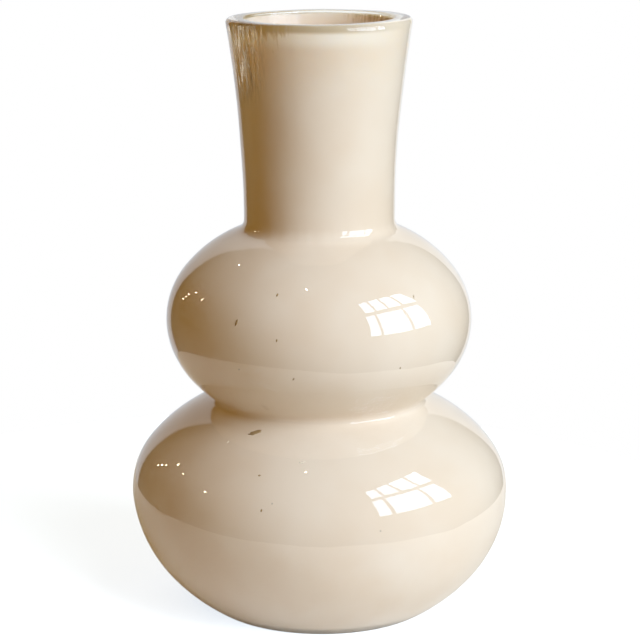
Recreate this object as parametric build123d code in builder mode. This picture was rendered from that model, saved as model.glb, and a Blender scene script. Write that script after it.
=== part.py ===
# Double gourd vase of hand-blown cased glass: an opaque cream lining under a clear casing,
# whose rounded lip closes over the lining's top edge.
# Millimetres, +Z up. The origin is the middle of the foot, on the surface that the vase stands on.

import os
from math import copysign, isclose

from build123d import *

os.makedirs("parts", exist_ok=True)

# Heights, stacked from the table up
lower_bulb_drop = 50.0  # table to the lower bulb's widest ring
lower_bulb_rise = 39.8  # widest ring to the waist
upper_bulb_drop = 34.4  # waist to the upper bulb's widest ring
upper_bulb_rise = 38.6  # widest ring to the foot of the neck
neck_height = 87.2  # foot of the neck to the top of the lip

# Radii of the outside
foot_radius = 48.5
lower_bulb_radius = 80.0
waist_radius = 44.2
upper_bulb_radius = 64.4
neck_radius = 31.5
rim_radius = 38.6

# Each side of a bulb turns in on a tight arc, then runs on over a flatter arc
side_turn = 40.0  # degrees of the tight arc
lower_bulb_low_round = 51.9
lower_bulb_high_round = 30.8
upper_bulb_low_round = 36.8
upper_bulb_high_round = 32.5

# Rounding of the outside
heel_round = 3.0
waist_round = 1.2
shoulder_round = 2.5
lip_round = 2.0  # outer edge of the lip
mouth_round = 0.8  # inner edge of the lip

# Glass layers
casing_wall = 4.2
lining_wall = 3.2
casing_floor = 6.0
lining_floor = 5.0
clear_band = 0.6  # clear glass between the mouth's rounding and the lining's top edge

# Underside: the foot stands on a flat ring round a shallow hollow
foot_ring = 7.5
kick_depth = 2.0

# Cuts run this far past what they cut, and points this close are one point
overrun = 1.0
tolerance = 0.001

# Worked out from the sizes above
lower_level = lower_bulb_drop
waist_level = lower_level + lower_bulb_rise
upper_level = waist_level + upper_bulb_drop
neck_level = upper_level + upper_bulb_rise
vase_height = neck_level + neck_height
whole_wall = casing_wall + lining_wall
hollow_floor = casing_floor + lining_floor
lining_top = vase_height - mouth_round - clear_band
kick_radius = foot_radius - heel_round - foot_ring
kick_sphere_radius = (kick_radius**2 + kick_depth**2) / (kick_depth + kick_depth)


def bulb_side(level, radius, tight_round, end_radius, height):
    # from a bulb's widest ring to a ring of end_radius that lies height above it, or below it
    # where height is negative
    way = copysign(1, height)
    tight = JernArc((radius, level), (0, way), tight_round, way * side_turn)
    TangentArc(tight @ 1, (end_radius, level + height), tangent=tight % 1)


def corners_at(sketch, level):
    return sketch.vertices().filter_by(lambda corner: isclose(corner.Y, level, abs_tol=tolerance))


def lip_edges(casing):
    # the rings round the flat top of the lip, the mouth's first
    return casing.faces().sort_by(Axis.Z)[-1].edges().sort_by(SortBy.LENGTH)


# Outline of the outside, both halves, drawn on past the lip for the layers inside it
with BuildSketch(Plane.XZ) as outline:
    with BuildLine():
        bulb_side(lower_level, lower_bulb_radius, lower_bulb_low_round, foot_radius, -lower_bulb_drop)
        bulb_side(lower_level, lower_bulb_radius, lower_bulb_high_round, waist_radius, lower_bulb_rise)
        bulb_side(upper_level, upper_bulb_radius, upper_bulb_low_round, waist_radius, -upper_bulb_drop)
        bulb_side(upper_level, upper_bulb_radius, upper_bulb_high_round, neck_radius, upper_bulb_rise)
        neck = TangentArc((neck_radius, neck_level), (rim_radius, vase_height), tangent=(0, 1))
        mouth = Line(neck @ 1, neck @ 1 + (neck % 1) * (whole_wall + overrun))
        mirror(about=Plane.YZ)
        Line((-foot_radius, 0), (foot_radius, 0))
        Line((-(mouth @ 1).X, (mouth @ 1).Y), mouth @ 1)
    make_face()
    fillet(corners_at(outline, 0), radius=heel_round)
    fillet(corners_at(outline, waist_level), radius=waist_round)
    fillet(corners_at(outline, neck_level), radius=shoulder_round)

# Outside of the vase as a solid
with BuildPart() as outside:
    with BuildSketch(Plane.XZ):
        add(outline.sketch)
        split(bisect_by=Plane.YZ, keep=Keep.TOP)
    revolve(axis=Axis.Z)
    split(bisect_by=Plane.XY.offset(vase_height), keep=Keep.BOTTOM)


def inner_form(inset, floor):
    # the outside drawn in by inset, with a flat floor and a rounded corner round it
    with BuildPart() as form:
        with BuildSketch(Plane.XZ) as section:
            add(outline.sketch)
            offset(amount=-inset, mode=Mode.REPLACE)
            split(bisect_by=Plane.XZ.offset(-floor), keep=Keep.BOTTOM)
            fillet(corners_at(section, floor), radius=heel_round + inset)
            split(bisect_by=Plane.YZ, keep=Keep.TOP)
        revolve(axis=Axis.Z)
    return form.part


hollow = inner_form(whole_wall, hollow_floor)

# Space that the lining and the hollow take up inside the casing
with BuildPart() as lining_space:
    add(inner_form(casing_wall, casing_floor))
    split(bisect_by=Plane.XY.offset(lining_top), keep=Keep.BOTTOM)

# Cream lining
with BuildPart() as cream_lining:
    add(lining_space.part)
    add(hollow, mode=Mode.SUBTRACT)
cream_lining.part.label = "cream_lining"

# Clear casing, with the hollow under its foot and both edges of its lip rounded
with BuildPart() as clear_casing:
    add(outside.part)
    add(lining_space.part, mode=Mode.SUBTRACT)
    add(hollow, mode=Mode.SUBTRACT)
    with Locations((0, 0, kick_depth - kick_sphere_radius)):
        Sphere(kick_sphere_radius, mode=Mode.SUBTRACT)
    fillet(lip_edges(clear_casing)[0], radius=mouth_round)
    fillet(lip_edges(clear_casing)[-1], radius=lip_round)
clear_casing.part.label = "clear_casing"

for piece in (clear_casing, cream_lining):
    export_step(piece.part, f"parts/{piece.part.label}.step")
    print(piece.part.label, round(piece.part.volume), "mm3")
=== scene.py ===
import math

import bpy
from mathutils import Matrix, Vector, noise


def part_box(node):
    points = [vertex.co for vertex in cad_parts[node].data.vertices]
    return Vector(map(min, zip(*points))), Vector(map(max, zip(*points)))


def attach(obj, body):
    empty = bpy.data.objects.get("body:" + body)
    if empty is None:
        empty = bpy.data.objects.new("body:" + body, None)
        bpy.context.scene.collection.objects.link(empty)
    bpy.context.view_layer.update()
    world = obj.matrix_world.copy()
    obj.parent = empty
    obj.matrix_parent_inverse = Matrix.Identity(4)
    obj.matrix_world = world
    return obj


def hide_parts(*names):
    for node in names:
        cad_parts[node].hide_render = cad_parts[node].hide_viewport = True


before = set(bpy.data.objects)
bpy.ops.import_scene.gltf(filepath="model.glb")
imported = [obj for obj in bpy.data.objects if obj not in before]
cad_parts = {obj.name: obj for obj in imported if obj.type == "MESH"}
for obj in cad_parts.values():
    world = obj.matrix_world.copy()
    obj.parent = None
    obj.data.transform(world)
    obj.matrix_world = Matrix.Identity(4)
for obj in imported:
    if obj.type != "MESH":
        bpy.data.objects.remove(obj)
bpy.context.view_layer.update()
mm = 0.001
_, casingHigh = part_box("clear_casing")
liningLow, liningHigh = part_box("cream_lining")
print("frame loaded, nodes:", sorted(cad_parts))

# The walls of the vase, lengths in metres, heights from the table up
vaseForm = {
    "height": casingHigh.z,
    "footRadius": 48.5 * mm,
    "lowerBulbLevel": 50.0 * mm,
    "lowerBulbRadius": casingHigh.x,
    "waistLevel": 89.8 * mm,
    "waistRadius": 44.2 * mm,
    "upperBulbLevel": 124.2 * mm,
    "upperBulbRadius": 64.4 * mm,
    "neckLevel": 162.8 * mm,
    "neckRadius": 31.5 * mm,
    "rimRadius": 38.6 * mm,
    "sideTurn": math.radians(40),  # each side of a bulb turns this far on its tight arc
    "lowerBulbLowRound": 51.9 * mm,
    "lowerBulbHighRound": 30.8 * mm,
    "upperBulbLowRound": 36.8 * mm,
    "upperBulbHighRound": 32.5 * mm,
    "heelRound": 3.0 * mm,
    "waistRound": 1.4 * mm,
    "shoulderRound": 5.0 * mm,
    "lipRound": 2.0 * mm,
    "mouthRound": 0.8 * mm,
    "casingWall": 4.2 * mm,
    "wholeWall": 7.4 * mm,
    "casingFloor": liningLow.z,
    "hollowFloor": 11.0 * mm,
    "liningTop": liningHigh.z,
    "fuse": 0.06 * mm,  # the lining stands this far into the casing, so that no two faces lie in one place
    "kickRadius": 38.0 * mm,
    "kickDepth": 2.0 * mm,
    "segments": 256,  # steps of one turn
    "arcStep": 2.2 * mm,  # spacing of the rings
    "leastSteps": 5,
    "mergeWithin": 1e-6,  # points nearer than this are one
    "smoothAngle": math.radians(35),
}


def direction(angle):
    return Vector((math.cos(angle), math.sin(angle)))


def angleOf(way):
    return math.atan2(way.y, way.x)


# An arc of the outline is [centre, radius, first angle, last angle]. The angles are those of
# the outward normal. A hollow arc has a negative radius, so an inset by d takes d off any radius.
def bulbSide(level, radius, tightRound, endRadius, endLevel):
    way = math.copysign(1, endLevel - level)
    turn = way * vaseForm["sideTurn"]
    tight = [Vector((radius - tightRound, level)), tightRound, 0, turn]
    start = tight[0] + tightRound * direction(turn)
    end = Vector((endRadius, endLevel))
    chord = end - start
    flatRound = chord.length_squared / (-2 * chord.dot(direction(turn)))
    centre = start - flatRound * direction(turn)
    flat = [centre, flatRound, turn, angleOf(end - centre)]
    if way > 0:
        return [tight, flat]
    return [[c, r, last, first] for c, r, first, last in (flat, tight)]


def roundCrease(arcs, place, radius, corner):
    below, above = arcs[place], arcs[place + 1]
    a, b = below[0], above[0]
    ra, rb = abs(below[1] + radius), abs(above[1] + radius)
    span = (b - a).length
    along = (ra ** 2 - rb ** 2 + span ** 2) / (2 * span)
    across = math.sqrt(ra ** 2 - along ** 2)
    way = (b - a) / span
    side = Vector((-way.y, way.x))
    middle = a + along * way
    centre = min((middle + across * side, middle - across * side), key=lambda p: (p - corner).length)
    below[3] = angleOf((centre - a) / (below[1] + radius))
    above[2] = angleOf((centre - b) / (above[1] + radius))
    arcs.insert(place + 1, [centre, -radius, below[3], above[2]])


def vaseOutline():
    f = vaseForm
    waist = Vector((f["waistRadius"], f["waistLevel"]))
    neckFoot = Vector((f["neckRadius"], f["neckLevel"]))
    arcs = bulbSide(f["lowerBulbLevel"], f["lowerBulbRadius"], f["lowerBulbLowRound"], f["footRadius"], 0)
    arcs += bulbSide(f["lowerBulbLevel"], f["lowerBulbRadius"], f["lowerBulbHighRound"], *waist)
    waistPlace = len(arcs) - 1
    arcs += bulbSide(f["upperBulbLevel"], f["upperBulbRadius"], f["upperBulbLowRound"], *waist)
    arcs += bulbSide(f["upperBulbLevel"], f["upperBulbRadius"], f["upperBulbHighRound"], *neckFoot)
    neckPlace = len(arcs) - 1
    flare = Vector((f["rimRadius"], f["height"])) - neckFoot
    neckRound = flare.length_squared / (2 * flare.x)
    neckCentre = neckFoot + Vector((neckRound, 0))
    arcs.append([neckCentre, -neckRound, 0, -math.asin(flare.y / neckRound)])
    roundCrease(arcs, neckPlace, f["shoulderRound"], neckFoot)
    roundCrease(arcs, waistPlace, f["waistRound"], waist)
    return arcs


outline = vaseOutline()
neckArc = outline[-1]


def arcPoints(centre, radius, first, last):
    length = abs(radius * (last - first))
    steps = max(vaseForm["leastSteps"], math.ceil(length / vaseForm["arcStep"]))
    return [centre + radius * direction(first + (last - first) * i / steps) for i in range(steps + 1)]


def floorCorner(arc, inset, floor, radius):
    centreLevel = floor + radius
    reach = arc[1] - inset - radius
    centre = Vector((arc[0].x + math.sqrt(reach ** 2 - (centreLevel - arc[0].y) ** 2), centreLevel))
    return [centre, radius, -math.pi / 2, angleOf(centre - arc[0])]


# The outline moved in by inset, from its floor up to a level on the neck
def formLine(inset, floor, top):
    arcs = [list(arc) for arc in outline]
    corner = floorCorner(arcs[0], inset, floor, vaseForm["heelRound"] + inset)
    arcs[0][2] = corner[3]
    neck = arcs[-1]
    neck[3] = math.asin((top - neck[0].y) / (neck[1] - inset))
    points = arcPoints(*corner)
    for centre, radius, first, last in arcs:
        points += arcPoints(centre, radius - inset, first, last)[1:]
    return points


# A rounding of the lip, its centre at a depth inside the neck's outer face
def lipArc(radius, depth, inner):
    level = vaseForm["height"] - radius
    rise = level - neckArc[0].y
    reach = depth - neckArc[1]
    centre = Vector((neckArc[0].x - math.sqrt(reach ** 2 - rise ** 2), level))
    lean = -math.asin(rise / reach)  # the neck's normal there
    first, last = (math.pi / 2, math.pi + lean) if inner else (lean, math.pi / 2)
    return arcPoints(centre, radius, first, last)


def dropDoubles(points):
    kept = [points[0]]
    for point in points[1:]:
        if (point - kept[-1]).length > vaseForm["mergeWithin"]:
            kept.append(point)
    return kept


# The points are drawn as a line, one vertex pulled from the last, and the line is turned about +Z
def turnOnAxis(name, points):
    bpy.ops.object.select_all(action="DESELECT")
    bpy.ops.mesh.primitive_plane_add(size=vaseForm["arcStep"])
    piece = bpy.context.object
    piece.name = piece.data.name = name
    bpy.ops.object.mode_set(mode="EDIT")
    bpy.ops.mesh.select_all(action="SELECT")
    bpy.ops.mesh.merge(type="CENTER")
    spot = Vector((0, 0, 0))
    for i, point in enumerate(dropDoubles(points)):
        place = Vector((point.x, 0, point.y))
        if i == 0:
            bpy.ops.transform.translate(value=place - spot)
        else:
            bpy.ops.mesh.extrude_vertices_move(TRANSFORM_OT_translate={"value": place - spot})
        spot = place
    bpy.ops.object.mode_set(mode="OBJECT")
    bpy.ops.object.modifier_add(type="SCREW")
    turning = piece.modifiers[-1]
    turning.steps = turning.render_steps = vaseForm["segments"]
    turning.use_merge_vertices = True
    turning.merge_threshold = vaseForm["mergeWithin"]
    bpy.ops.object.modifier_apply(modifier=turning.name)
    bpy.ops.object.mode_set(mode="EDIT")
    bpy.ops.mesh.select_all(action="SELECT")
    bpy.ops.mesh.remove_doubles(threshold=vaseForm["mergeWithin"])
    bpy.ops.mesh.normals_make_consistent(inside=False)
    bpy.ops.object.mode_set(mode="OBJECT")
    bpy.ops.object.shade_smooth_by_angle(angle=vaseForm["smoothAngle"])
    return piece


def clearCasing():
    f = vaseForm
    kickSphere = (f["kickRadius"] ** 2 + f["kickDepth"] ** 2) / (2 * f["kickDepth"])
    kickCentre = Vector((0, f["kickDepth"] - kickSphere))
    kickEdge = math.asin(f["kickRadius"] / kickSphere)
    kick = arcPoints(kickCentre, kickSphere, math.pi / 2, math.pi / 2 - kickEdge)
    lip = lipArc(f["lipRound"], f["lipRound"], False)
    mouth = lipArc(f["mouthRound"], f["wholeWall"] - f["mouthRound"], True)
    outside = formLine(0, 0, lip[0].y)
    ledge = formLine(f["wholeWall"], f["hollowFloor"], f["liningTop"])[-1]
    inside = formLine(f["casingWall"], f["casingFloor"], f["liningTop"])
    axis = Vector((0, f["casingFloor"]))
    return turnOnAxis("casing", kick + outside + lip + mouth + [ledge] + inside[::-1] + [axis])


def creamLining():
    f = vaseForm
    floor, top = f["casingFloor"] - f["fuse"], f["liningTop"] + f["fuse"]
    outside = formLine(f["casingWall"] - f["fuse"], floor, top)
    inside = formLine(f["wholeWall"], f["hollowFloor"], top)
    lowEnd, highEnd = Vector((0, floor)), Vector((0, f["hollowFloor"]))
    return turnOnAxis("lining", [lowEnd] + outside + inside[::-1] + [highEnd])


casing = clearCasing()
lining = creamLining()
print("casing and lining turned:", len(casing.data.polygons), len(lining.data.polygons), "faces")

# Blown glass is never quite even: both layers waver together, and the foot stays flat
waver = {
    "spacing": 45 * mm,
    "depth": 0.9 * mm,  # full range of the noise; most of the wall moves a fifth of that
    "stillBelow": 3 * mm,
    "fullAbove": 25 * mm,
    "baseShift": 1.2 * mm,  # the base sits a little to the right of the axis
    "baseBelow": 48 * mm,
    "rimTilt": 0.0085,  # the lip is lower on the left
    "rimAbove": 195 * mm,
    "markSpacing": 2.5 * mm,
    "markDepth": 0.12 * mm,
    "markReach": 9 * mm,
}
waverClouds = bpy.data.textures.new("waver", "CLOUDS")
waverClouds.cloud_type = "COLOR"
waverClouds.noise_scale = waver["spacing"]
waverClouds.noise_depth = 1


def clamped(share):
    return min(max(share, 0), 1)


def letWaver(piece):
    bpy.ops.object.select_all(action="DESELECT")
    piece.select_set(True)
    bpy.context.view_layer.objects.active = piece
    group = piece.vertex_groups.new(name="waver")
    for vertex in piece.data.vertices:
        share = (vertex.co.z - waver["stillBelow"]) / (waver["fullAbove"] - waver["stillBelow"])
        group.add([vertex.index], clamped(share), "REPLACE")
    bpy.ops.object.modifier_add(type="DISPLACE")
    move = piece.modifiers[-1]
    move.texture = waverClouds
    move.texture_coords = "LOCAL"
    move.direction = "RGB_TO_XYZ"
    move.space = "LOCAL"
    move.mid_level = 0.5
    move.strength = waver["depth"]
    move.vertex_group = group.name
    bpy.ops.object.modifier_apply(modifier=move.name)
    piece.vertex_groups.clear()
    for vertex in piece.data.vertices:
        spot = vertex.co
        below = clamped(1 - spot.z / waver["baseBelow"])
        above = clamped((spot.z - waver["rimAbove"]) / (vaseForm["height"] - waver["rimAbove"]))
        markShare = 1 - abs(spot.z - vaseForm["neckLevel"]) / waver["markReach"]
        if markShare > 0:  # the jacks leave shallow upright marks round the foot of the neck
            turn = spot.xy.normalized() / waver["markSpacing"] * vaseForm["neckRadius"]
            push = noise.noise(turn.to_3d()) * waver["markDepth"] * markShare ** 2
            spot.xy += push * spot.xy.normalized()
        spot.x += waver["baseShift"] * below * (2 - below)
        spot.z += waver["rimTilt"] * (spot.x - vaseForm["rimRadius"]) * above ** 2


letWaver(casing)
letWaver(lining)
print("walls waver")

# Flecks of darker glass lie on the colour, and air seeds in the clear wall. Each row is azimuth
# in degrees from the front to the right, level, length and width in mm, and lean from upright.
inclusions = {
    "flecks": (
        (-31.5, 87.0, 5.2, 2.4, 55),
        (-33.0, 133.7, 2.6, 0.9, 12),
        (-21.0, 74.8, 1.2, 0.7, 80),
        (-17.7, 62.6, 1.1, 0.7, 20),
        (-17.8, 146.0, 1.5, 0.7, 10),
        (-15.8, 128.1, 1.1, 0.6, 0),
        (-10.0, 111.2, 1.3, 0.6, 30),
        (32.1, 114.1, 0.9, 0.6, 0),
        (42.5, 143.1, 1.4, 0.5, 10),
        (96, 70, 1.8, 0.7, 40),
        (140, 131, 1.3, 0.7, 15),
        (-152, 58, 2.4, 0.9, 55),
        (-118, 140, 1.2, 0.6, 70),
    ),
    "seeds": (
        (-31.0, 114.3, 0.6, 0.5, 0),
        (-14.3, 65.4, 0.6, 0.5, 0),
        (-6.3, 79.4, 2.4, 1.0, 75),
        (18, 54, 0.6, 0.5, 0),
        (84, 131, 1.1, 0.8, 20),
        (118, 48, 1.2, 0.9, 60),
        (171, 118, 1.0, 0.8, 0),
        (-97, 75, 1.4, 0.8, 50),
    ),
    "fleckInset": vaseForm["casingWall"],
    "fleckDepth": 0.5 * mm,
    "fleckRough": 0.16,  # how ragged, as a share of its width
    "seedInset": 1.9 * mm,
    "seedDepth": 0.5 * mm,
    "seedRough": 0.02,
    "segments": 14,
    "rings": 8,
}


def spotOn(level, inset):
    for centre, radius, first, last in outline:
        rise = (level - centre.y) / radius
        if abs(rise) <= 1 and min(first, last) <= math.asin(rise) <= max(first, last):
            angle = math.asin(rise)
            return centre + (radius - inset) * direction(angle), angle


# A roughened ball, flattened along the wall's normal and leaning in the wall
def bead(row, inset, depth, rough):
    azimuth, level, length, width, lean = row
    turn, lean = math.radians(azimuth), math.radians(lean)
    spot, angle = spotOn(level * mm, inset)
    away = Vector((math.sin(turn), -math.cos(turn), 0))
    along = Vector((math.cos(turn), math.sin(turn), 0))
    normal = math.cos(angle) * away + math.sin(angle) * Vector((0, 0, 1))
    up = normal.cross(along)
    short = math.cos(lean) * along - math.sin(lean) * up
    tall = math.sin(lean) * along + math.cos(lean) * up
    bpy.ops.object.select_all(action="DESELECT")
    bpy.ops.mesh.primitive_uv_sphere_add(
        segments=inclusions["segments"], ring_count=inclusions["rings"], radius=0.5
    )
    piece = bpy.context.object
    bpy.ops.object.mode_set(mode="EDIT")
    bpy.ops.mesh.select_all(action="SELECT")
    bpy.ops.transform.vertex_random(offset=rough, seed=int(level))
    bpy.ops.object.mode_set(mode="OBJECT")
    turned = Matrix((short, tall.cross(short), tall)).transposed().to_4x4()
    sizes = Matrix.Diagonal((width * mm, depth, length * mm, 1))
    place = spot.x * away + Vector((0, 0, spot.y))
    piece.matrix_world = Matrix.Translation(place) @ turned @ sizes
    bpy.ops.object.transform_apply(location=True, rotation=True, scale=True)
    bpy.ops.object.shade_smooth()
    letWaver(piece)
    return piece


def beads(kind):
    shape = [inclusions[kind + part] for part in ("Inset", "Depth", "Rough")]
    return [bead(row, *shape) for row in inclusions[kind + "s"]]


def takeIn(piece, parts):
    bpy.ops.object.select_all(action="DESELECT")
    for one in parts:
        one.select_set(True)
    piece.select_set(True)
    bpy.context.view_layer.objects.active = piece
    bpy.ops.object.join()


flecks = beads("fleck")
seeds = beads("seed")
for seed in seeds:
    bpy.context.view_layer.objects.active = seed
    bpy.ops.object.select_all(action="DESELECT")
    seed.select_set(True)
    bpy.ops.object.mode_set(mode="EDIT")
    bpy.ops.mesh.select_all(action="SELECT")
    bpy.ops.mesh.flip_normals()  # a seed is a hole in the glass
    bpy.ops.object.mode_set(mode="OBJECT")
print("flecks and seeds made:", len(flecks), len(seeds))


def hexColour(code):
    parts = [int(code[i : i + 2], 16) / 255 for i in (1, 3, 5)]
    return tuple(c / 12.92 if c <= 0.04045 else ((c + 0.055) / 1.055) ** 2.4 for c in parts) + (1,)


def addNode(tree, kind, settings, links):
    node = tree.nodes.new("ShaderNode" + kind)
    for name, value in settings.items():
        if isinstance(name, str) and hasattr(node, name):
            setattr(node, name, value)
        else:
            node.inputs[name].default_value = value
    for name, source in links.items():
        tree.links.new(source, node.inputs[name])
    return node


# Rises from 0 to most while the source goes through the span
def ramp(tree, source, span, most=1.0, kind="SMOOTHSTEP"):
    settings = {"interpolation_type": kind, "From Min": span[0], "From Max": span[1], "To Max": most}
    return addNode(tree, "MapRange", settings, {0: source}).outputs[0]


def calculate(tree, operation, *values):
    settings, links = {"operation": operation}, {}
    for place, value in enumerate(values):
        (settings if isinstance(value, float) else links)[place] = value
    return addNode(tree, "Math", settings, links).outputs[0]


# How far a spot lies towards a side
def towards(tree, spot, side):
    return addNode(tree, "VectorMath", {"operation": "DOT_PRODUCT", 1: side}, {0: spot}).outputs["Value"]


# Either colour is a hex value or comes from another node
def mixColours(tree, share, first, second):
    settings, links = {}, {"Fac": share}
    for name, colour in (("Color1", first), ("Color2", second)):
        if isinstance(colour, str):
            settings[name] = hexColour(colour)
        else:
            links[name] = colour
    return addNode(tree, "MixRGB", settings, links).outputs[0]


def mixShaders(tree, share, first, second):
    return addNode(tree, "MixShader", {}, {0: share, 1: first, 2: second}).outputs[0]


def newMaterial(name):
    material = bpy.data.materials.new(name)
    material.use_nodes = True
    material.node_tree.nodes.clear()
    return material, material.node_tree


glassIndex = 1.52


# Soda-lime glass, mouth blown and fire polished: clear, and so smooth that it mirrors the room sharply.
# Soft light and lamps go straight through it, so that the colour under it is lit evenly.
def sodaLimeGlass():
    material, tree = newMaterial("soda_lime_glass")
    clear = hexColour("#FBFCFA")
    glass = addNode(
        tree,
        "BsdfPrincipled",
        {"Base Color": clear, "Roughness": 0.0, "IOR": glassIndex, "Transmission Weight": 1.0},
        {},
    )
    through = addNode(tree, "BsdfTransparent", {"Color": clear}, {})
    path = addNode(tree, "LightPath", {}, {})
    seen = glass.outputs[0]
    for ray in ("Is Diffuse Ray", "Is Shadow Ray"):
        seen = mixShaders(tree, path.outputs[ray], seen, through.outputs[0])
    addNode(tree, "OutputMaterial", {}, {"Surface": seen})
    return material


# Opal glass coloured cream: milky and a little cloudy, drawn out to brown threads under the lip. The threads
# are painted only on the sides in shade, so their brown is partly painted shade.
# The face against the casing has no gloss of its own, the face inside the vase is fire polished.
creamTone = {
    "cream": "#EADED2",
    "deepCream": "#E6D7C8",
    "cloud": 30 * mm,
    "cloudShare": (0.35, 0.65),
    # painted highlight: a paler band just under the lip, painted at the front only, where the rounded lip
    # mirrors the bright backdrop
    "pale": "#F4EBE3",
    "paleBand": (239 * mm, 244 * mm),
    "paintedRefraction": "#BFB39F",  # painted refraction: a tan band along the front of the top edge, for the lining's top edge seen through the rounded lip
    "paintedRefractionBand": (245.6 * mm, 247.4 * mm),
    "paintedBandSide": (-0.5, -0.87, 0),  # the front, where the painted highlight band and the painted refraction band show
    "paintedBandReach": (-14 * mm, 34 * mm),
    # The threads' brown, and the darker brown at the top edge, are partly painted shade
    "brown": "#C0AF8E",
    "shadedBrownEdge": "#B7A682",
    "edgeBand": (vaseForm["liningTop"] - 1.7 * mm, vaseForm["liningTop"] - 0.8 * mm),
    "thread": 1.1 * mm,
    "drawnOut": 0.05,  # the threads are this much denser across than along the wall
    "fringe": (242 * mm, 248 * mm),
    "fringeRise": 0.36,
    "trail": (220 * mm, 247 * mm),
    "trailRise": 0.22,
    "threadShare": (0.78, 1.15),
    "thinWall": (212 * mm, 246 * mm),  # the colour thins out here and lets light through
    "lightReach": 6 * mm,  # how far light travels in it
    "lightSpread": (1.0, 0.9, 0.75),  # of red, green and blue
    "frayed": (212 * mm, 229 * mm),  # clear streaks part the colour here, at the left only
    "clearShare": (0.60, 0.40),
    "clearMost": 0.85,
    "clearTint": "#FDF5E8",
}


# Brown threads show towards side within reach, a side in shade, so they are partly painted shade; clear
# streaks show towards fraySide within fray
def creamOpal(name, specular, roughness, side, reach, fraySide=None, fray=None):
    c = creamTone
    material, tree = newMaterial(name)
    spot = addNode(tree, "TexCoord", {}, {}).outputs["Object"]
    height = addNode(tree, "SeparateXYZ", {}, {0: spot}).outputs["Z"]
    cloud = addNode(tree, "TexNoise", {"Scale": 1 / c["cloud"], "Detail": 3.0}, {"Vector": spot})
    cloudShare = ramp(tree, cloud.outputs[0], c["cloudShare"], kind="LINEAR")
    cream = mixColours(tree, cloudShare, c["cream"], c["deepCream"])
    # The pale band is a painted highlight and the tan band a painted refraction, both painted at the front
    # only
    front = ramp(tree, towards(tree, spot, c["paintedBandSide"]), c["paintedBandReach"])
    for tone in ("pale", "paintedRefraction"):
        band = calculate(tree, "MULTIPLY", ramp(tree, height, c[tone + "Band"]), front)
        cream = mixColours(tree, band, cream, c[tone])
    drawn = addNode(tree, "VectorMath", {"operation": "MULTIPLY", 1: (1, 1, c["drawnOut"])}, {0: spot})
    threadNoise = {"Scale": 1 / c["thread"], "Detail": 3.0, "Roughness": 0.65}
    thread = addNode(tree, "TexNoise", threadNoise, {"Vector": drawn.outputs[0]}).outputs[0]
    fringe = ramp(tree, height, c["fringe"], c["fringeRise"])
    trail = ramp(tree, height, c["trail"], c["trailRise"])
    # painted shade: the threads are drawn only towards the side in shade
    shadeSideShare = ramp(tree, towards(tree, spot, side), reach)
    rise = calculate(tree, "MULTIPLY_ADD", calculate(tree, "ADD", fringe, trail), shadeSideShare, thread)
    share = ramp(tree, rise, c["threadShare"], kind="LINEAR")
    edge = ramp(tree, height, c["edgeBand"], kind="LINEAR")
    brown = mixColours(tree, edge, c["brown"], c["shadedBrownEdge"])
    opal = addNode(
        tree,
        "BsdfPrincipled",
        {
            "Roughness": roughness,
            "Specular IOR Level": specular,
            "IOR": glassIndex,
            "Subsurface Radius": c["lightSpread"],
            "Subsurface Scale": c["lightReach"],
        },
        {
            "Base Color": mixColours(tree, share, cream, brown),
            "Subsurface Weight": ramp(tree, height, c["thinWall"]),
        },
    )
    shader = opal.outputs[0]
    if fray:
        clear = ramp(tree, height, c["frayed"])
        left = ramp(tree, towards(tree, spot, fraySide), fray, c["clearMost"])
        gap = ramp(tree, thread, c["clearShare"], kind="LINEAR")
        closed = calculate(tree, "SUBTRACT", 1.0, edge)  # the top edge has no clear streaks
        for part in (left, gap, closed):
            clear = calculate(tree, "MULTIPLY", clear, part)
        through = addNode(tree, "BsdfTransparent", {"Color": hexColour(c["clearTint"])}, {})
        shader = mixShaders(tree, clear, shader, through.outputs[0])
    addNode(tree, "OutputMaterial", {}, {"Surface": shader})
    return material


fleckTone = {"dark": "#8A7452", "pale": "#B99F78", "grain": 0.8 * mm}


# Specks of iron-brown glass caught in the colour: dark, with paler grains and no gloss of their own
def ironFleck():
    material, tree = newMaterial("iron_brown_fleck")
    spot = addNode(tree, "TexCoord", {}, {}).outputs["Object"]
    grain = addNode(tree, "TexNoise", {"Scale": 1 / fleckTone["grain"], "Detail": 2.0}, {"Vector": spot})
    colour = mixColours(tree, grain.outputs[0], fleckTone["dark"], fleckTone["pale"])
    speck = addNode(
        tree,
        "BsdfPrincipled",
        {"Roughness": 0.5, "Specular IOR Level": 0.0, "IOR": glassIndex},
        {"Base Color": colour},
    )
    addNode(tree, "OutputMaterial", {}, {"Surface": speck.outputs[0]})
    return material


clearGlass = sodaLimeGlass()
fleckGlass = ironFleck()
for piece in [casing] + seeds:
    piece.data.materials.append(clearGlass)
for piece in flecks:
    piece.data.materials.append(fleckGlass)

# The threads are painted towards the sides in shade: outside on the left, and inside on the right wall
fusedFace = {"specular": 0.0, "roughness": 0.5, "side": (-0.95, -0.31, 0), "reach": (17 * mm, 25 * mm)}
bareFace = {"specular": 0.3, "roughness": 0.2, "side": (0.95, 0.31, 0), "reach": (10 * mm, 31 * mm)}
fusedFray = {"fraySide": (-0.97, -0.24, 0), "fray": (24 * mm, 33 * mm)}
bareFray = {"fraySide": (-0.87, -0.5, 0), "fray": (19 * mm, 28 * mm)}
for material in (
    creamOpal("cream_opal_fused", **fusedFace),
    creamOpal("cream_opal_bare", **bareFace),
    creamOpal("cream_opal_fused_frayed", **fusedFace, **fusedFray),
    creamOpal("cream_opal_bare_frayed", **bareFace, **bareFray),
):
    lining.data.materials.append(material)


liningFaces = {
    "wallBelow": vaseForm["liningTop"] - 1 * mm,  # the ledge at the top is fused to the lip
    "bottomBelow": 2 * vaseForm["hollowFloor"],
    "bottomRise": 0.5,  # least upward part of a normal on the bottom
    "margin": 1 * mm,  # faces this near to a streak count as frayed
}


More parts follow.
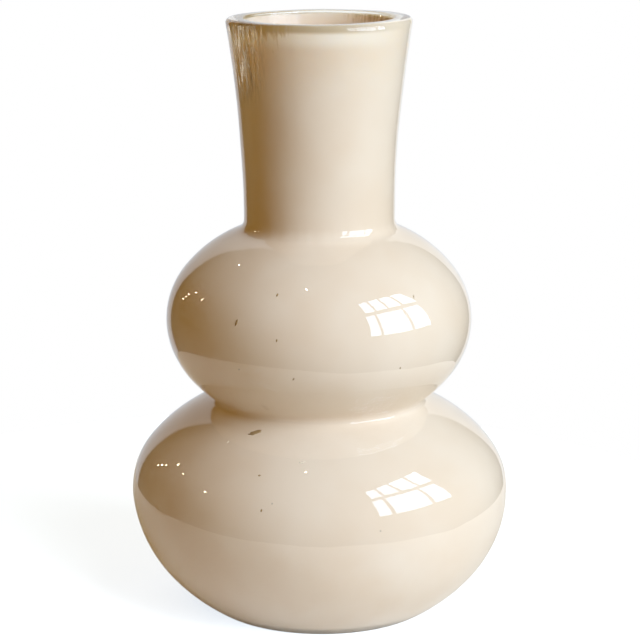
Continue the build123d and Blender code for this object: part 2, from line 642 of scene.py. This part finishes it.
# The walls and the bottom inside are bare, and only faces that the streaks can reach are frayed.
# The materials stand in the order fused, bare, fused and frayed, bare and frayed.
def liningMaterial(face):
    spot, normal = face.center, face.normal
    wall = normal.xy.dot(spot.xy) < 0 and spot.z < liningFaces["wallBelow"]
    bottom = normal.z > liningFaces["bottomRise"] and spot.z < liningFaces["bottomBelow"]
    bare = wall or bottom
    streaks = bareFray if bare else fusedFray
    reached = Vector(streaks["fraySide"]).dot(spot) > streaks["fray"][0] - liningFaces["margin"]
    frayed = reached and spot.z > creamTone["frayed"][0] - liningFaces["margin"]
    return bare + 2 * frayed


for face in lining.data.polygons:
    face.material_index = liningMaterial(face)
takeIn(casing, seeds)
takeIn(lining, flecks)

for piece, node, slotName in (
    (casing, "clear_casing", "clear_glass"),
    (lining, "cream_lining", "cream_opal_glass"),
):
    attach(piece, "root")
    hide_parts(node)
print("materials set")

# Floor, light and camera
floorForm = {
    "radius": 0.25,
    "centre": (-0.03, 0.04, 0),
    "segments": 128,
    "colour": "#F2F0EE",
    "glow": 0.83,  # added where it is seen, so that it runs into the white around it
    "glowColour": "#E0F0FF",  # cool, because the light in the shadow is warm: together they are grey
    "mirroredGlow": 0.35,  # what a mirrored ray sees of that, away from the vase
    "mirroredFrom": (0.11, 0.22),
}


def paleFloor():
    bpy.ops.object.select_all(action="DESELECT")
    bpy.ops.mesh.primitive_circle_add(
        vertices=floorForm["segments"],
        radius=floorForm["radius"],
        fill_type="NGON",
        location=floorForm["centre"],
    )
    floor = bpy.context.object
    floor.name = "floor"
    bpy.ops.object.transform_apply(location=True, rotation=False, scale=False)
    material, tree = newMaterial("pale_floor")
    path = addNode(tree, "LightPath", {}, {})
    spot = addNode(tree, "TexCoord", {}, {})
    away = addNode(tree, "VectorMath", {"operation": "LENGTH"}, {0: spot.outputs["Object"]})
    mirrored = ramp(
        tree, away.outputs["Value"], floorForm["mirroredFrom"], floorForm["mirroredGlow"], "LINEAR"
    )
    seenRay = calculate(tree, "MULTIPLY", mirrored, path.outputs["Is Glossy Ray"])
    for ray in ("Is Camera Ray", "Is Transmission Ray"):
        seenRay = calculate(tree, "MAXIMUM", seenRay, path.outputs[ray])
    matt = addNode(tree, "BsdfDiffuse", {"Color": hexColour(floorForm["colour"])}, {})
    glow = addNode(
        tree, "Emission", {"Color": hexColour(floorForm["glowColour"]), "Strength": floorForm["glow"]}, {}
    )
    seen = addNode(tree, "AddShader", {}, {0: matt.outputs[0], 1: glow.outputs[0]})
    shader = mixShaders(tree, seenRay, matt.outputs[0], seen.outputs[0])
    addNode(tree, "OutputMaterial", {}, {"Surface": shader})
    floor.data.materials.append(material)


paneLight = {
    "azimuth": math.radians(54.7),  # from straight in front towards the right
    "distance": 0.40,
    "columns": (-0.150, -0.062, 0.038, 0.150, 0.257),  # edges of the small upper panes
    "upperRow": (0.405, 0.580),
    "lowerColumns": (-0.161, -0.085, 0.118, 0.234),
    "lowerRow": (0.166, 0.363),
    "bar": 0.017,
    "radiance": 8.5,
    "colour": "#D2E4FF",
}


def areaLamp(name, place, aim, width, height, radiance, colour):
    bpy.ops.object.light_add(type="AREA")
    lamp = bpy.context.object
    lamp.name = name
    lamp.data.shape = "RECTANGLE"
    lamp.data.size, lamp.data.size_y = width, height
    lamp.data.energy = radiance * math.pi * width * height
    lamp.data.color = hexColour(colour)[:3]
    lamp.location = place
    lamp.rotation_euler = (Vector(place) - Vector(aim)).to_track_quat("Z", "Y").to_euler()
    lamp.visible_camera = False
    return lamp


def panedWindow():
    p = paneLight
    out = Vector((math.sin(p["azimuth"]), -math.cos(p["azimuth"]), 0))
    along = Vector((math.cos(p["azimuth"]), math.sin(p["azimuth"]), 0))
    for columns, (low, high) in ((p["columns"], p["upperRow"]), (p["lowerColumns"], p["lowerRow"])):
        for left, right in zip(columns, columns[1:]):
            foot = (left + right) / 2 * along + Vector((0, 0, (low + high) / 2))
            pane = areaLamp(
                "window_pane",
                p["distance"] * out + foot,
                foot,
                right - left - p["bar"],
                high - low,
                p["radiance"],
                p["colour"],
            )
            pane.visible_diffuse = False


# One tall lamp to the front right, behind the panes, lights the vase; the glass mirrors only the panes
daylight = {
    "azimuth": math.radians(47),
    "distance": 1.1,
    "level": 0.68,
    "width": 0.7,
    "height": 1.36,
    "radiance": 7.6,
    "colour": "#E3F0FF",
}


def tallDaylight():
    d = daylight
    side = Vector((math.sin(d["azimuth"]), -math.cos(d["azimuth"]), 0))
    place = d["distance"] * side + Vector((0, 0, d["level"]))
    aim = Vector((0, 0, vaseForm["waistLevel"]))
    lamp = areaLamp("daylight", place, aim, d["width"], d["height"], d["radiance"], d["colour"])
    lamp.visible_glossy = False
    lamp.visible_transmission = False


# Small bare lamps, most along the left side of the room: they light nothing, the glass only glints with them
glints = {
    "radius": 4.5 * mm,
    "radiance": 75.0,
    "colour": "#FFE9C8",
    "places": (
        (-0.425, 0.182, 0.297),
        (-0.422, 0.089, 0.285),
        (-0.416, -0.111, 0.273),
        (-0.340, 0.213, 0.570),
        (-0.042, -0.171, 0.530),
        (-0.498, 0.338, 0.208),
        (-0.498, 0.313, 0.238),
        (-0.498, 0.288, 0.268),
    ),
}


def glintLamps():
    for place in glints["places"]:
        bpy.ops.object.light_add(type="POINT", location=place)
        lamp = bpy.context.object
        lamp.name = "glint"
        lamp.data.shadow_soft_size = glints["radius"]
        lamp.data.energy = glints["radiance"] * 4 * (math.pi * glints["radius"]) ** 2
        lamp.data.color = hexColour(glints["colour"])[:3]
        lamp.visible_camera = lamp.visible_diffuse = lamp.visible_transmission = False


# Mirrored rays see a white backdrop behind the vase and a dim room around it, soft light comes
# from the same backdrop, and the camera and the clear lip see plain white. The backdrop ends
# where y falls below left or right times x plus top times z. Pairs of colours are left and right.
room = {
    "mirroredReach": (1.53, 2.05, 0.10),  # left, right, top
    "softReach": (0.87, 0.87, 0.72),
    "edge": (-0.05, 0.05),
    "across": (-0.15, 0.3),  # from the left colour to the right one
    "mirrored": ("#DBE2EC", "#ECF0F5"),
    "mirroredRoom": ("#403A33", "#403A33"),
    "lightBehind": ("#FFF4B8", "#FFFFFF"),
    "lightRoom": ("#916A1A", "#947F46"),
    "plain": "#FFFFFF",
}


def backdropColour(tree, way, reach, inside, outside):
    x, y, z = way.outputs
    left = calculate(tree, "MULTIPLY", x, -reach[0])
    right = calculate(tree, "MULTIPLY", x, reach[1])
    edge = calculate(tree, "MULTIPLY_ADD", z, reach[2], calculate(tree, "MAXIMUM", left, right))
    share = ramp(tree, calculate(tree, "SUBTRACT", y, edge), room["edge"])
    across = ramp(tree, x, room["across"])
    return mixColours(tree, share, mixColours(tree, across, *outside), mixColours(tree, across, *inside))


def studioWorld():
    world = bpy.data.worlds.new("studio")
    bpy.context.scene.world = world
    world.use_nodes = True
    tree = world.node_tree
    tree.nodes.clear()
    coordinates = addNode(tree, "TexCoord", {}, {})
    way = addNode(tree, "SeparateXYZ", {}, {0: coordinates.outputs["Generated"]})
    path = addNode(tree, "LightPath", {}, {})
    shown = backdropColour(tree, way, room["mirroredReach"], room["mirrored"], room["mirroredRoom"])
    soft = backdropColour(tree, way, room["softReach"], room["lightBehind"], room["lightRoom"])
    seenBy = {"Is Diffuse Ray": soft, "Is Transmission Ray": room["plain"], "Is Camera Ray": room["plain"]}
    for ray, colour in seenBy.items():
        shown = mixColours(tree, path.outputs[ray], shown, colour)
    glow = addNode(tree, "Background", {"Strength": 1.0}, {"Color": shown})
    addNode(tree, "OutputWorld", {}, {"Surface": glow.outputs[0]})


viewpoint = {
    "place": (0.0003, -0.8862, 0.3317),
    "pitch": 0.2321,  # radians down from level
    "focalPixels": 2154.7,  # for the 640 pixel frame
    "frame": 640,
    "sensor": 36,  # mm
}


def photoCamera():
    v = viewpoint
    data = bpy.data.cameras.new("camera")
    data.sensor_width = v["sensor"]
    data.lens = v["sensor"] * v["focalPixels"] / v["frame"]
    camera = bpy.data.objects.new("camera", data)
    bpy.context.scene.collection.objects.link(camera)
    camera.location = v["place"]
    camera.rotation_euler = (math.pi / 2 - v["pitch"], 0, 0)
    bpy.context.scene.camera = camera


paleFloor()
panedWindow()
tallDaylight()
glintLamps()
studioWorld()
photoCamera()
bpy.context.scene.view_settings.view_transform = "Standard"
print("stage, light and camera set")
